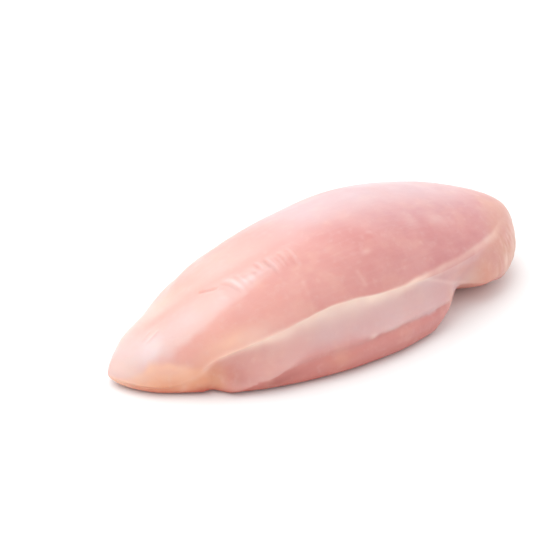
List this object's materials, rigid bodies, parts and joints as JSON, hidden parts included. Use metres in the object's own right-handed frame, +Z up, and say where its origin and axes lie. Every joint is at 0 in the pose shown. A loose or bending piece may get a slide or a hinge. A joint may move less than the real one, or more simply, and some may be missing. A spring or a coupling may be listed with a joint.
{
  "type": "raw chicken breast",
  "caption": "Raw boneless, skinless chicken breast fillet: a plump pink dome with a pointed tip, a cream crest line and a pale membrane strip along one side, lying flat.",
  "frame": {"origin": "bottom centre of the fillet's bounding box, on the surface that it lies on", "axes": "+X from the pointed tip towards the thick end, +Z up, -Y towards the side with the crest and the pale membrane strip"},
  "size_m": [0.17, 0.078, 0.04],
  "materials": {
    "raw_chicken": "raw poultry meat: pale pink muscle under a thin moist membrane, satin wet sheen, cream fat along the crest"
  },
  "bodies": {
    "root": {"chicken_breast": "raw_chicken"}
  },
  "joints": []
}
